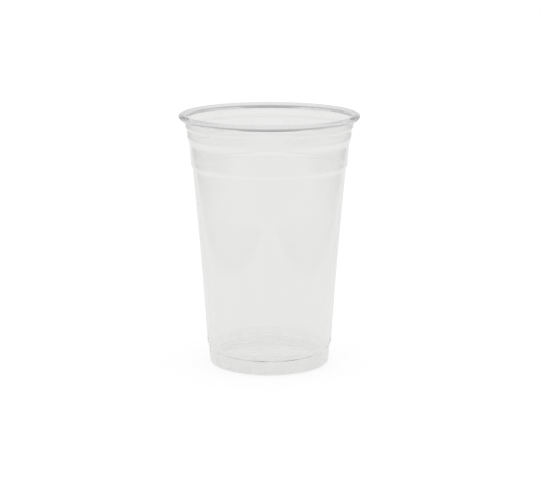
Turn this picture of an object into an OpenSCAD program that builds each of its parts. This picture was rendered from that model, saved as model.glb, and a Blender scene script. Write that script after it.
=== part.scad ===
// Clear disposable cold-drink cup, drawn from one sheet of plastic.
//
// The cup is a single sheet that changes thickness a little from floor to rim. It is drawn as one
// path up the middle of that sheet: pushed-up floor, foot ring, foot band, long tapered wall, two
// stacking shoulders and undercut collar. The path gets its thickness on both sides.
// At the collar's top the sheet's edge is rolled outwards, so tightly that it is one full bead.
// The section is turned about the axis.
// Lengths are in millimetres, Z is up, and the origin is the centre of the base.

/* [Overall] */
// Outside diameter over the rolled rim
rim_d = 98; // [92:1:106]
// Height from the table to the crown of the rim
cup_h = 138; // [115:1:170]
// Outside diameter where the foot band meets the heel
foot_d = 65.6; // [58:0.2:72]

/* [Sheet] */
// Thickness of the floor and of the foot ring
floor_wall = 0.4; // [0.3:0.05:0.6]
// Thickness of the side wall
wall = 0.3; // [0.25:0.05:0.45]
// Thickness of the collar
collar_wall = 0.45; // [0.35:0.05:0.6]

/* [Rolled rim] */
// Width of the roll, from the collar's inside to its outermost line
roll_w = 3.65; // [3.4:0.05:4.2]
// Height of the roll, from its crown to its lowest line
roll_h = 3.3; // [3.1:0.05:3.6]
// Drop from the crown to the widest line of the roll
roll_crown = 1.3; // [1.1:0.05:1.5]
// Slope of the roll's outside below its widest line, in degrees from upright
roll_slope = 32; // [25:1:40]
// Radius of the roll's lower edge
roll_tuck = 1.3; // [1:0.1:1.4]

/* [Collar and neck] */
// Drop from the crown to the lower end of the collar
collar_drop = 6.4; // [6:0.1:9]
// How much the collar leans out towards the rim, on the radius
collar_lean = 0.2; // [0:0.05:0.4]
// Height of the undercut below the collar
undercut_h = 2.1; // [1.2:0.1:4]
// Depth of the undercut, on the radius
undercut = 0.95; // [0.3:0.05:1.4]
// Height of the plain neck between the undercut and the upper shoulder
neck_h = 2.9; // [1:0.1:6]

/* [Stacking shoulders] */
// Height of the upper shoulder
upper_h = 5.6; // [2:0.1:8]
// How far the upper shoulder steps in, on the radius
upper_step = 1.35; // [0.4:0.05:2]
// Height of the band between the shoulders
band_h = 10.0; // [6:0.1:16]
// How much the band narrows downwards, on the radius
band_taper = 0.68; // [0.1:0.02:1.2]
// Height of the lower shoulder
lower_h = 3.3; // [1.5:0.1:6]
// How far the lower shoulder steps in, on the radius
lower_step = 1.0; // [0.3:0.05:1.6]

/* [Main wall] */
// How far the long wall bows in at mid height
wall_bow = 0.35; // [0:0.05:1]

/* [Foot] */
// Height from the table to the top of the step above the foot band
step_top = 11.4; // [8:0.1:16]
// Height of that step
step_h = 2.2; // [1:0.1:4]
// How far the step goes in, on the radius
foot_step = 0.8; // [0.2:0.05:1.2]
// How much the foot band narrows downwards, on the radius
foot_taper = 0.5; // [0.1:0.05:0.8]
// Radius of the heel, in the middle of the sheet
heel_r = 1.6; // [0.6:0.1:2.4]
// Width of the flat ring that the cup stands on
ring_w = 1.0; // [0.6:0.1:2]
// Radius at the inside of the foot ring
ring_r = 0.8; // [0.5:0.1:1.2]

/* [Pushed-up floor] */
// Height of the floor's edge above the table
floor_up = 6.8; // [3.2:0.1:8]
// Radius between the floor and the wall that goes down to the foot ring
floor_r = 1.0; // [0.6:0.1:1.6]
// Slope of that wall away from upright, in degrees
floor_draft = 8; // [2:1:20]
// How much higher the middle of the floor is than its edge
floor_dome = 0.8; // [0:0.1:2]

/* [Hidden] */
$fn = 180;

// Steps along a corner, a shoulder, the long wall and the floor
corner_n = 8;
shoulder_n = 12;
wall_n = 10;
floor_n = 8;

// Radii in the middle of the sheet, down from the rim
join_r = rim_d / 2 - roll_w + collar_wall / 2;
collar_r = join_r - collar_lean;
neck_r = collar_r - undercut;
band_top_r = neck_r - upper_step;
band_low_r = band_top_r - band_taper;
wall_top_r = band_low_r - lower_step;

// Heights, down from the crown
widest_z = cup_h - roll_crown;
tuck_z = cup_h - roll_h + roll_tuck;
collar_z = cup_h - collar_drop;
neck_top_z = collar_z - undercut_h;
neck_low_z = neck_top_z - neck_h;
band_top_z = neck_low_z - upper_h;
band_low_z = band_top_z - band_h;
wall_top_z = band_low_z - lower_h;

// Roll: half an ellipse over the top, a straight slope, and a round lower edge that meets the collar
crown_rx = roll_w / 2;
crown_x = rim_d / 2 - crown_rx;
crown_end = atan(tan(roll_slope) * roll_crown / crown_rx);
slope_drop = roll_h - roll_crown * (1 + sin(crown_end)) - roll_tuck * (1 - sin(roll_slope));
tuck_x = crown_x + crown_rx * cos(crown_end) - slope_drop * tan(roll_slope) - roll_tuck * cos(roll_slope);

// The lower edge starts beside the collar, with a notch of at least notch_w between them
tuck_turn = 150;
notch_w = 0.1;
tuck_gap = tuck_x - join_r - collar_wall / 2 - notch_w;
tuck_start = min(tuck_turn, 180 - acos(min(1, tuck_gap / roll_tuck)));

// Foot, up from the table
sole_z = floor_wall / 2;
heel_z = sole_z + heel_r;
heel_top_r = foot_d / 2 - floor_wall / 2;
band_foot_r = heel_top_r + foot_taper;
wall_low_r = band_foot_r + foot_step;
ring_x = heel_top_r - heel_r - ring_w;

// Pushed-up floor: its wall leans by floor_draft between two rounded corners
floor_z = floor_up - floor_wall / 2;
bend_z = floor_z - floor_r;
lean_drop = bend_z + floor_r * sin(floor_draft) - sole_z - ring_r * (1 - sin(floor_draft));
lean_x = lean_drop * tan(floor_draft);
bend_x = ring_x - (ring_r + floor_r) * cos(floor_draft) - lean_x;
dome_edge = atan(2 * floor_dome / bend_x);
floor_edge_x = bend_x + floor_r * sin(dome_edge);
floor_edge_z = bend_z + floor_r * cos(dome_edge);

// How much the radius grows per millimetre of height, in the foot band, the wall, the band and the collar
foot_lean = foot_taper / (step_top - step_h - heel_z);
wall_lean = (wall_top_r - wall_low_r) / (wall_top_z - step_top);
bow_lean = wall_bow * PI / (wall_top_z - step_top);
band_lean = band_taper / band_h;
rim_lean = collar_lean / (tuck_z - collar_z);

// A path is a list of [radius, height, thickness]
function on_arc(x, z, rx, rz, a, t) = [x + rx * cos(a), z + rz * sin(a), t];
function arc(x, z, rx, rz, from, to, t, n = corner_n) =
    [for (i = [0:n]) on_arc(x, z, rx, rz, from + (to - from) * i / n, t)];

// An S-shaped step between two points of the path, which runs on from the slopes below and above it
function shoulder(low, high, below = 0, above = 0, n = shoulder_n) =
    let (rise = high[1] - low[1])
    [for (i = [0:n]) let (k = i / n, s = (1 - cos(180 * k)) / 2)
        [(low[0] + below * rise * k) * (1 - s) + (high[0] - above * rise * (1 - k)) * s,
         low[1] + rise * k, low[2] + (high[2] - low[2]) * k]];

floor_path = [for (i = [0:floor_n - 1]) let (k = i / floor_n)
    [floor_edge_x * k, floor_edge_z + floor_dome * (1 - pow(k, 2)), floor_wall]];

foot_path = concat(
    arc(bend_x, bend_z, floor_r, floor_r, 90 - dome_edge, floor_draft, floor_wall),
    arc(ring_x, sole_z + ring_r, ring_r, ring_r, 180 + floor_draft, 270, floor_wall),
    arc(ring_x + ring_w, heel_z, heel_r, heel_r, 270, 360, floor_wall),
    shoulder([band_foot_r, step_top - step_h, floor_wall], [wall_low_r, step_top, wall],
             foot_lean, wall_lean - bow_lean));

wall_path = [for (i = [1:wall_n - 1]) let (k = i / wall_n)
    [wall_low_r + (wall_top_r - wall_low_r) * k - wall_bow * sin(180 * k),
     step_top + (wall_top_z - step_top) * k, wall]];

shoulder_path = concat(
    shoulder([wall_top_r, wall_top_z, wall], [band_low_r, band_low_z, wall], wall_lean + bow_lean, band_lean),
    shoulder([band_top_r, band_top_z, wall], [neck_r, neck_low_z, wall], band_lean, 0),
    shoulder([neck_r, neck_top_z, wall], [collar_r, collar_z, collar_wall], 0, rim_lean),
    [[join_r, tuck_z, collar_wall]]);

sheet = concat(floor_path, foot_path, wall_path, shoulder_path);

bead = concat(
    arc(tuck_x, tuck_z, roll_tuck, roll_tuck, -tuck_start, -roll_slope, 0, 2 * corner_n),
    arc(crown_x, widest_z, crown_rx, roll_crown, -crown_end, 180, 0, 3 * corner_n));

// The point of the path at i, moved across the sheet by side times half its thickness
function unit(v) = v / norm(v);
function flat(p) = [p[0], p[1]];
function across(path, i, side) =
    let (last = len(path) - 1,
         here = flat(path[i]),
         back = unit(here - flat(path[max(i, 1) - 1]) + (i == 0 ? [1, 0] : [0, 0])),
         ahead = i == last ? back : unit(flat(path[i + 1]) - here),
         along = i == 0 ? [1, 0] : unit(back + ahead),
         mitre = i == 0 ? 1 : along * ahead)
    here + side * path[i][2] / 2 / mitre * [-along[1], along[0]];

// One sheet of clear plastic, floor to rim
module cup() {
    color([0.93, 0.93, 0.925, 0.45])
    rotate_extrude()
    polygon(concat([for (i = [0:len(sheet) - 1]) across(sheet, i, -1)],
                   [for (p = bead) flat(p)],
                   [for (i = [len(sheet) - 1:-1:0]) across(sheet, i, 1)]));
}

cup();
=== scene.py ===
import math

import bpy
import numpy as np
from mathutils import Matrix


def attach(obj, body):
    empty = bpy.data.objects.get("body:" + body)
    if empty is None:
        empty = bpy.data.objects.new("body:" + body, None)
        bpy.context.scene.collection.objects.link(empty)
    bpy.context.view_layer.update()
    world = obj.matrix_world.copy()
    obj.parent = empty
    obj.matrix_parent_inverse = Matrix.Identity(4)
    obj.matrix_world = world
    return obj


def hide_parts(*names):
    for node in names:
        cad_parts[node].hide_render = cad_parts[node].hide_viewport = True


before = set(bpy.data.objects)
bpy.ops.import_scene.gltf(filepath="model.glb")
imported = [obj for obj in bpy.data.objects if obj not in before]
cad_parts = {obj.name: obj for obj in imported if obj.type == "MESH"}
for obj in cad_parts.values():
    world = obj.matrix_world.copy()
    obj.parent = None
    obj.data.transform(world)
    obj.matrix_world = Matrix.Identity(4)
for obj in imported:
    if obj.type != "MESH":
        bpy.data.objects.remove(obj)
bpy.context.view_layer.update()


# The view: the cup stands on the table about a metre from the camera, a little below the lens, and
# turned to no side, because it is the same all round. Lengths are millimetres until they meet MM,
# which makes metres of them.
MM = 0.001
frame_width = 540
cup_axis_column = 269.3
focal_pixels = 1796.2
camera_distance = 963.7
camera_height = 268.6
camera_pitch = math.radians(11.944)
sensor_width = 36

camera_data = bpy.data.cameras.new("camera")
camera_data.sensor_width = sensor_width
camera_data.lens = sensor_width * focal_pixels / frame_width
camera = bpy.data.objects.new("camera", camera_data)
bpy.context.scene.collection.objects.link(camera)
camera_aside = (frame_width / 2 - cup_axis_column) / focal_pixels * camera_distance
camera.location = (camera_aside * MM, -camera_distance * MM, camera_height * MM)
camera.rotation_euler = (math.pi / 2 - camera_pitch, 0, 0)
bpy.context.scene.camera = camera


# The cup: one sheet of clear polyester, heated and drawn into a mould, with its edge rolled into a full
# bead. It is drawn as the path up the middle of the sheet, thicker in the floor and the collar, and
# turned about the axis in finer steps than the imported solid, so that it bends light smoothly.
rim_d = 98.0
cup_h = 138.0
foot_d = 65.6
floor_wall = 0.4
wall = 0.3
collar_wall = 0.45

roll_w = 3.65
roll_h = 3.3
roll_crown = 1.3
roll_slope = math.radians(32)
roll_tuck = 1.3

collar_drop = 6.4
collar_lean = 0.2
undercut_h = 2.1
undercut = 0.95
neck_h = 2.9

upper_h = 5.6
upper_step = 1.35
band_h = 10.0
band_taper = 0.68
lower_h = 3.3
lower_step = 1.0
wall_bow = 0.35

step_top = 11.4
step_h = 2.2
foot_step = 0.8
foot_taper = 0.5
heel_r = 1.6
ring_w = 1.0
ring_r = 0.8

floor_up = 6.8
floor_r = 1.0
floor_draft = math.radians(8)
floor_dome = 0.8

corner_steps = 10
shoulder_steps = 20
wall_steps = 24
floor_steps = 12

join_r = rim_d / 2 - roll_w + collar_wall / 2
collar_r = join_r - collar_lean
neck_r = collar_r - undercut
band_top_r = neck_r - upper_step
band_low_r = band_top_r - band_taper
wall_top_r = band_low_r - lower_step

widest_z = cup_h - roll_crown
tuck_z = cup_h - roll_h + roll_tuck
collar_z = cup_h - collar_drop
neck_top_z = collar_z - undercut_h
neck_low_z = neck_top_z - neck_h
band_top_z = neck_low_z - upper_h
band_low_z = band_top_z - band_h
wall_top_z = band_low_z - lower_h

crown_rx = roll_w / 2
crown_x = rim_d / 2 - crown_rx
crown_end = math.atan(math.tan(roll_slope) * roll_crown / crown_rx)
slope_drop = roll_h - roll_crown * (1 + math.sin(crown_end)) - roll_tuck * (1 - math.sin(roll_slope))
slope_x = crown_x + crown_rx * math.cos(crown_end) - slope_drop * math.tan(roll_slope)
tuck_x = slope_x - roll_tuck * math.cos(roll_slope)
tuck_start = math.radians(150)

sole_z = floor_wall / 2
heel_z = sole_z + heel_r
heel_top_r = foot_d / 2 - floor_wall / 2
band_foot_r = heel_top_r + foot_taper
wall_low_r = band_foot_r + foot_step
ring_x = heel_top_r - heel_r - ring_w

floor_z = floor_up - floor_wall / 2
bend_z = floor_z - floor_r
lean_drop = bend_z + floor_r * math.sin(floor_draft) - sole_z - ring_r * (1 - math.sin(floor_draft))
bend_x = ring_x - (ring_r + floor_r) * math.cos(floor_draft) - lean_drop * math.tan(floor_draft)
dome_angle = math.atan(2 * floor_dome / bend_x)
floor_edge_x = bend_x + floor_r * math.sin(dome_angle)
floor_edge_z = bend_z + floor_r * math.cos(dome_angle)

foot_slope = foot_taper / (step_top - step_h - heel_z)
wall_slope = (wall_top_r - wall_low_r) / (wall_top_z - step_top)
bow_slope = wall_bow * math.pi / (wall_top_z - step_top)
band_slope = band_taper / band_h
rim_slope = collar_lean / (tuck_z - collar_z)

quarter = math.pi / 2


def arc(x, z, rx, rz, start, end, thick, steps=corner_steps):
    """Points [radius, height, thickness] along an arc of an ellipse about (x, z)."""
    turns = [start + (end - start) * i / steps for i in range(steps + 1)]
    return [(x + rx * math.cos(a), z + rz * math.sin(a), thick) for a in turns]


def shoulder(low, high, slope_below=0, slope_above=0):
    """An S-shaped step between two points of the path, which runs on from the slopes beyond them."""
    points = []
    rise = high[1] - low[1]
    for i in range(shoulder_steps + 1):
        k = i / shoulder_steps
        s = (1 - math.cos(math.pi * k)) / 2
        radius = (low[0] + slope_below * rise * k) * (1 - s) + (high[0] - slope_above * rise * (1 - k)) * s
        points.append((radius, low[1] + rise * k, low[2] + (high[2] - low[2]) * k))
    return points


sheet = [(floor_edge_x * k, floor_edge_z + floor_dome * (1 - k ** 2), floor_wall)
         for k in (i / floor_steps for i in range(floor_steps))]
sheet += arc(bend_x, bend_z, floor_r, floor_r, quarter - dome_angle, floor_draft, floor_wall)
sheet += arc(ring_x, sole_z + ring_r, ring_r, ring_r, math.pi + floor_draft, 3 * quarter, floor_wall)
sheet += arc(ring_x + ring_w, heel_z, heel_r, heel_r, 3 * quarter, 4 * quarter, floor_wall)
sheet += shoulder((band_foot_r, step_top - step_h, floor_wall), (wall_low_r, step_top, wall),
                  foot_slope, wall_slope - bow_slope)
sheet += [(wall_low_r + (wall_top_r - wall_low_r) * k - wall_bow * math.sin(math.pi * k),
           step_top + (wall_top_z - step_top) * k, wall)
          for k in (i / wall_steps for i in range(1, wall_steps))]
sheet += shoulder((wall_top_r, wall_top_z, wall), (band_low_r, band_low_z, wall),
                  wall_slope + bow_slope, band_slope)
sheet += shoulder((band_top_r, band_top_z, wall), (neck_r, neck_low_z, wall), band_slope)
sheet += shoulder((neck_r, neck_top_z, wall), (collar_r, collar_z, collar_wall), 0, rim_slope)
sheet += [(join_r, tuck_z, collar_wall)]

bead = arc(tuck_x, tuck_z, roll_tuck, roll_tuck, -tuck_start, -roll_slope, 0, 2 * corner_steps)
bead += arc(crown_x, widest_z, crown_rx, roll_crown, -crown_end, math.pi, 0, 4 * corner_steps)


def across(path, side):
    """The path moved across the sheet, to one side, by half its thickness."""
    points = np.array([p[:2] for p in path])
    half = np.array([p[2] / 2 for p in path])
    along = np.diff(points, axis=0)
    along /= np.linalg.norm(along, axis=1)[:, None]
    back = np.vstack([[1, 0], along])
    ahead = np.vstack([along, along[-1]])
    ahead[0] = back[0]
    mean = back + ahead
    mean /= np.linalg.norm(mean, axis=1)[:, None]
    mitre = (mean * ahead).sum(1)
    normal = np.stack([-mean[:, 1], mean[:, 0]], 1)
    return points + side * (half / mitre)[:, None] * normal


outline = np.vstack([across(sheet, -1), [p[:2] for p in bead], across(sheet, 1)[::-1]])
turn_steps = 256
axis_reach = 0.001
turns = np.arange(turn_steps) * 2 * math.pi / turn_steps
points = []
rings = []
for radius, height in outline:
    start = len(points)
    on_axis = radius < axis_reach
    points += [(radius * MM * math.cos(a), radius * MM * math.sin(a), height * MM)
               for a in (turns[:1] if on_axis else turns)]
    rings.append([start + (0 if on_axis else i) for i in range(turn_steps)])
faces = []
for low, high in zip(rings, rings[1:]):
    for i in range(turn_steps):
        j = (i + 1) % turn_steps
        faces.append(list(dict.fromkeys([low[i], low[j], high[j], high[i]])))
crease = math.radians(45)
mesh = bpy.data.meshes.new("clear_cup")
mesh.from_pydata(points, [], faces)
mesh.validate()
mesh.shade_smooth()
mesh.set_sharp_from_angle(angle=crease)
cup = bpy.data.objects.new("clear_cup", mesh)
bpy.context.scene.collection.objects.link(cup)
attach(cup, "root")
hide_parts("cup")


# The plastic: clear, glossy and very faintly warm grey. Drawing the hot sheet leaves long shallow flow
# lines up the wall and ripples in the floor, which meets the cold mould first. It is painted clearer in a
# narrow band across each shoulder, a painted highlight, and in the floor, a painted lift against its shade.
# It is painted greyer in patches in the foot, painted shade where it meets the table, and in the bead,
# which is several turns thick, painted shade for the light those turns lose.
plastic_ior = 1.57
clear_tone = (0.976, 0.976, 0.972, 1)
flow_tone = (0.958, 0.958, 0.953, 1)
# Painted highlight and painted lift: the shoulder bands and the floor are painted clearer than the sheet.
painted_light_tone = (0.99, 0.99, 0.986, 1)
upper_middle = (band_top_z + neck_low_z) / 2 * MM
lower_middle = (wall_top_z + band_low_z) / 2 * MM
shoulder_highlight_zone = (1.2 * MM, 0.2 * MM)
disc_zone = (29.0 * MM, 28.2 * MM)
# Painted shade: the foot is greyer in patches, where it meets the table.
foot_shade_tone = (0.92, 0.92, 0.915, 1)
foot_zone = (10.5 * MM, 9.0 * MM)
foot_patches = (0.25, 0.75)
# Painted shade: the bead is greyer for the light lost in its several turns of sheet.
bead_shade_tone = (0.915, 0.915, 0.915, 1)
bead_zone = (134.0 * MM, 134.6 * MM)
gloss = 0.012
gloss_spread = 0.02
shadow_tone = (0.95, 0.95, 0.95, 1)
flow_scale = 90
flow_detail = 3
flow_stretch = (1, 1, 0.12)
flow_depth = 0.02 * MM
ripple_scale = 260
ripple_detail = 2
ripple_stretch = (1, 1, 0.5)
ripple_share = 7
floor_zone = (12 * MM, 6 * MM)
sideways = (1, 1, 0)


class Wire:
    """A shader socket that takes part in sums: 1 - mask adds its own Math node."""

    def __init__(self, socket):
        self.socket = socket
        self.tree = socket.id_data

    @staticmethod
    def node(tree, kind, settings=None, inputs=None, output=0):
        """Adds a node: its settings first, then its sockets' values or the wires that feed them."""
        made = tree.nodes.new(kind)
        for name, value in (settings or {}).items():
            setattr(made, name, value)
        for name, value in (inputs or {}).items():
            if isinstance(value, Wire):
                tree.links.new(value.socket, made.inputs[name])
            else:
                made.inputs[name].default_value = value
        return Wire(made.outputs[output])

    def math(self, operation, *others):
        values = dict(enumerate((self, *others)))
        return Wire.node(self.tree, "ShaderNodeMath", {"operation": operation}, values)

    def ramp(self, start, end):
        """Goes from 0 to 1 while this value goes from start to end."""
        return Wire.node(self.tree, "ShaderNodeMapRange", {}, {0: self, 1: start, 2: end})

    def stretch(self, factors):
        """Multiplies a place along x, y and z."""
        return Wire.node(self.tree, "ShaderNodeVectorMath", {"operation": "MULTIPLY"}, {0: self, 1: factors})

    def __add__(self, other):
        return self.math("ADD", other)

    def __mul__(self, other):
        return self.math("MULTIPLY", other)

    def __rsub__(self, other):
        return Wire.node(self.tree, "ShaderNodeMath", {"operation": "SUBTRACT"}, {0: other, 1: self})

    __radd__ = __add__
    __rmul__ = __mul__


plastic = bpy.data.materials.new("clear_plastic")
plastic.use_nodes = True
tree = plastic.node_tree
shader = tree.nodes["Principled BSDF"]
place = Wire(tree.nodes.new("ShaderNodeTexCoord").outputs["Object"])
height = Wire.node(tree, "ShaderNodeSeparateXYZ", {}, {0: place}, 2)
flow = Wire.node(tree, "ShaderNodeTexNoise", {}, {
    "Vector": place.stretch(flow_stretch), "Scale": flow_scale, "Detail": flow_detail})
ripple = Wire.node(tree, "ShaderNodeTexNoise", {}, {
    "Vector": place.stretch(ripple_stretch), "Scale": ripple_scale, "Detail": ripple_detail})
relief = flow + ripple * height.ramp(*floor_zone) * ripple_share
normal = Wire.node(tree, "ShaderNodeBump", {}, {"Strength": 1, "Distance": flow_depth, "Height": relief})
off_axis = Wire.node(tree, "ShaderNodeVectorMath", {"operation": "LENGTH"}, {0: place.stretch(sideways)}, 1)
disc = off_axis.ramp(*disc_zone)
low = height.ramp(*foot_zone)
# Painted shade in the foot, broken into patches by the floor ripples.
painted_foot_shade = (1 - disc) * low * ripple.ramp(*foot_patches)
# Painted highlights in narrow bands across the two shoulders, then a painted lift of the floor.
upper = (height + -upper_middle).math("ABSOLUTE").ramp(*shoulder_highlight_zone)
lower = (height + -lower_middle).math("ABSOLUTE").ramp(*shoulder_highlight_zone)
painted_light_mask = upper + lower + disc * low
# Painted shade in the bead.
rolled = height.ramp(*bead_zone)
tone = clear_tone
zones = ((flow, flow_tone), (painted_light_mask, painted_light_tone), (painted_foot_shade, foot_shade_tone), (rolled, bead_shade_tone))
for zone, zone_tone in zones:
    tone = Wire.node(tree, "ShaderNodeMix", {"data_type": "RGBA"}, {0: zone, 6: tone, 7: zone_tone}, 2)
tree.links.new(tone.socket, shader.inputs["Base Color"])
tree.links.new((flow * gloss_spread + gloss).socket, shader.inputs["Roughness"])
tree.links.new(normal.socket, shader.inputs["Normal"])
shader.inputs["IOR"].default_value = plastic_ior
shader.inputs["Transmission Weight"].default_value = 1
shade = Wire(tree.nodes.new("ShaderNodeLightPath").outputs["Is Shadow Ray"])
stand_in = Wire.node(tree, "ShaderNodeBsdfTransparent", {}, {"Color": shadow_tone})
surface = Wire.node(tree, "ShaderNodeMixShader", {}, {0: shade, 1: Wire(shader.outputs[0]), 2: stand_in})
tree.links.new(surface.socket, tree.nodes["Material Output"].inputs[0])
cup.data.materials.append(plastic)


# The table: a wide sheet of pale paper. The camera sees it white, with the cup's own faint shadow, and
# through the plastic it shows its real pale grey, which is the tone of the whole cup in the photo. The
# walls mirror a darker strip at the left and right of it, which draws the sides of the upper bands.
table_half = 1500 * MM
paper_tone = 0.82
white_lift = 0.77
white_tone = 0.25
grey_lift = 0.78
grey_tone = 0.08
shade_inner = (300 * MM, 400 * MM)
shade_outer = (500 * MM, 1300 * MM)
shade_depth = 0.4


def sent_on_rays(tree):
    """A mask for the rays that the clear plastic mirrors or bends on their way to the things round it."""
    path = tree.nodes.new("ShaderNodeLightPath").outputs
    sent_on = Wire(path["Is Glossy Ray"]).math("MAXIMUM", Wire(path["Is Transmission Ray"]))
    return sent_on * Wire(path["Diffuse Depth"]).math("LESS_THAN", 1)


table_mesh = bpy.data.meshes.new("table")
corners = [(-table_half, -table_half, 0), (table_half, -table_half, 0),
           (table_half, table_half, 0), (-table_half, table_half, 0)]
table_mesh.from_pydata(corners, [], [(0, 1, 2, 3)])
table = bpy.data.objects.new("table", table_mesh)
bpy.context.scene.collection.objects.link(table)
paper = bpy.data.materials.new("pale_paper")
paper.use_nodes = True
tree = paper.node_tree
tree.nodes.clear()
path = tree.nodes.new("ShaderNodeLightPath").outputs
seen = Wire(path["Is Camera Ray"])
mirrored = Wire(path["Glossy Depth"]).math("GREATER_THAN", 0)
sent_on = sent_on_rays(tree)
spot = Wire(tree.nodes.new("ShaderNodeNewGeometry").outputs["Position"])
aside = Wire.node(tree, "ShaderNodeSeparateXYZ", {}, {0: spot}).math("ABSOLUTE")
shaded = aside.ramp(*shade_inner) * (1 - aside.ramp(*shade_outer)) * mirrored
strength = seen * white_lift + sent_on * (1 - shaded * shade_depth) * grey_lift
lift = Wire.node(tree, "ShaderNodeEmission", {}, {"Strength": strength})
other = 1 - (seen + sent_on)
tone = seen * white_tone + sent_on * grey_tone + other * paper_tone
matt = Wire.node(tree, "ShaderNodeBsdfDiffuse", {}, {"Color": tone})
both = Wire.node(tree, "ShaderNodeAddShader", {}, {0: matt, 1: lift})
output = tree.nodes.new("ShaderNodeOutputMaterial")
tree.links.new(both.socket, output.inputs[0])
table.data.materials.append(paper)


# The grey band: a strip of grey gel stands in a ring round the cup, higher than the rim, and only the
# clear plastic shows it. Seen from the rim it lies just above the table's horizon, so it darkens the
# bead all round, and seen from the low floor of the cup it lies too high to be mirrored there.
gel_radius = 400 * MM
gel_low = (170 * MM, 210 * MM)
gel_high = (290 * MM, 370 * MM)
gel_steps = 96
gel_dark = 0.37

gel_mesh = bpy.data.meshes.new("gel_band")
turns = [2 * math.pi * i / gel_steps for i in range(gel_steps)]
edges = (gel_low[0], gel_high[1])
points = [(gel_radius * math.cos(a), gel_radius * math.sin(a), z) for z in edges for a in turns]
ends = [(i + 1) % gel_steps for i in range(gel_steps)]
faces = [(i, j, j + gel_steps, i + gel_steps) for i, j in enumerate(ends)]
gel_mesh.from_pydata(points, [], faces)
gel_band = bpy.data.objects.new("gel_band", gel_mesh)
bpy.context.scene.collection.objects.link(gel_band)
gel = bpy.data.materials.new("grey_gel")
gel.use_nodes = True
tree = gel.node_tree
tree.nodes.clear()
sent_on = sent_on_rays(tree)
spot = Wire(tree.nodes.new("ShaderNodeNewGeometry").outputs["Position"])
height = Wire.node(tree, "ShaderNodeSeparateXYZ", {}, {0: spot}, 2)
density = height.ramp(*gel_low) * (1 - height.ramp(*gel_high)) * gel_dark
filtered = Wire.node(tree, "ShaderNodeBsdfTransparent", {}, {"Color": 1 - sent_on * density})
output = tree.nodes.new("ShaderNodeOutputMaterial")
tree.links.new(filtered.socket, output.inputs[0])
gel_band.data.materials.append(gel)


# The studio: an even white dome lights the table. The plastic shows what stands in a bright studio
# instead: a pale grey backdrop all round, a dark gap above it, and a soft lamp overhead, which leans a
# little over the cup and is no brighter than the backdrop. The gap draws the dark lines of the rim.
backdrop_tone = 0.84
lamp_tilt = math.radians(6)
gap_start = (0.58, 0.62)
gap_end = (0.76, 0.80)
gap_dark = 0.62
dome_tone = (1, 1, 1, 1)

world = bpy.data.worlds.new("studio")
bpy.context.scene.world = world
world.use_nodes = True
tree = world.node_tree
way = Wire(tree.nodes.new("ShaderNodeTexCoord").outputs["Generated"])
to_lamp = (0, math.sin(lamp_tilt), math.cos(lamp_tilt))
up = Wire.node(tree, "ShaderNodeVectorMath", {"operation": "DOT_PRODUCT"}, {0: way, 1: to_lamp}, 1)
gap = up.ramp(*gap_start) * (1 - up.ramp(*gap_end))
sent_on = sent_on_rays(tree)
strength = sent_on * (1 - gap * gap_dark) * backdrop_tone + (1 - sent_on)
tree.links.new(strength.socket, tree.nodes["Background"].inputs["Strength"])
tree.nodes["Background"].inputs["Color"].default_value = dome_tone

# Light crosses the thin walls and runs along them many times before it leaves
light_turns = 64
bpy.context.scene.cycles.max_bounces = light_turns
bpy.context.scene.cycles.transmission_bounces = light_turns
bpy.context.scene.cycles.glossy_bounces = light_turns
bpy.context.scene.view_settings.view_transform = "Standard"
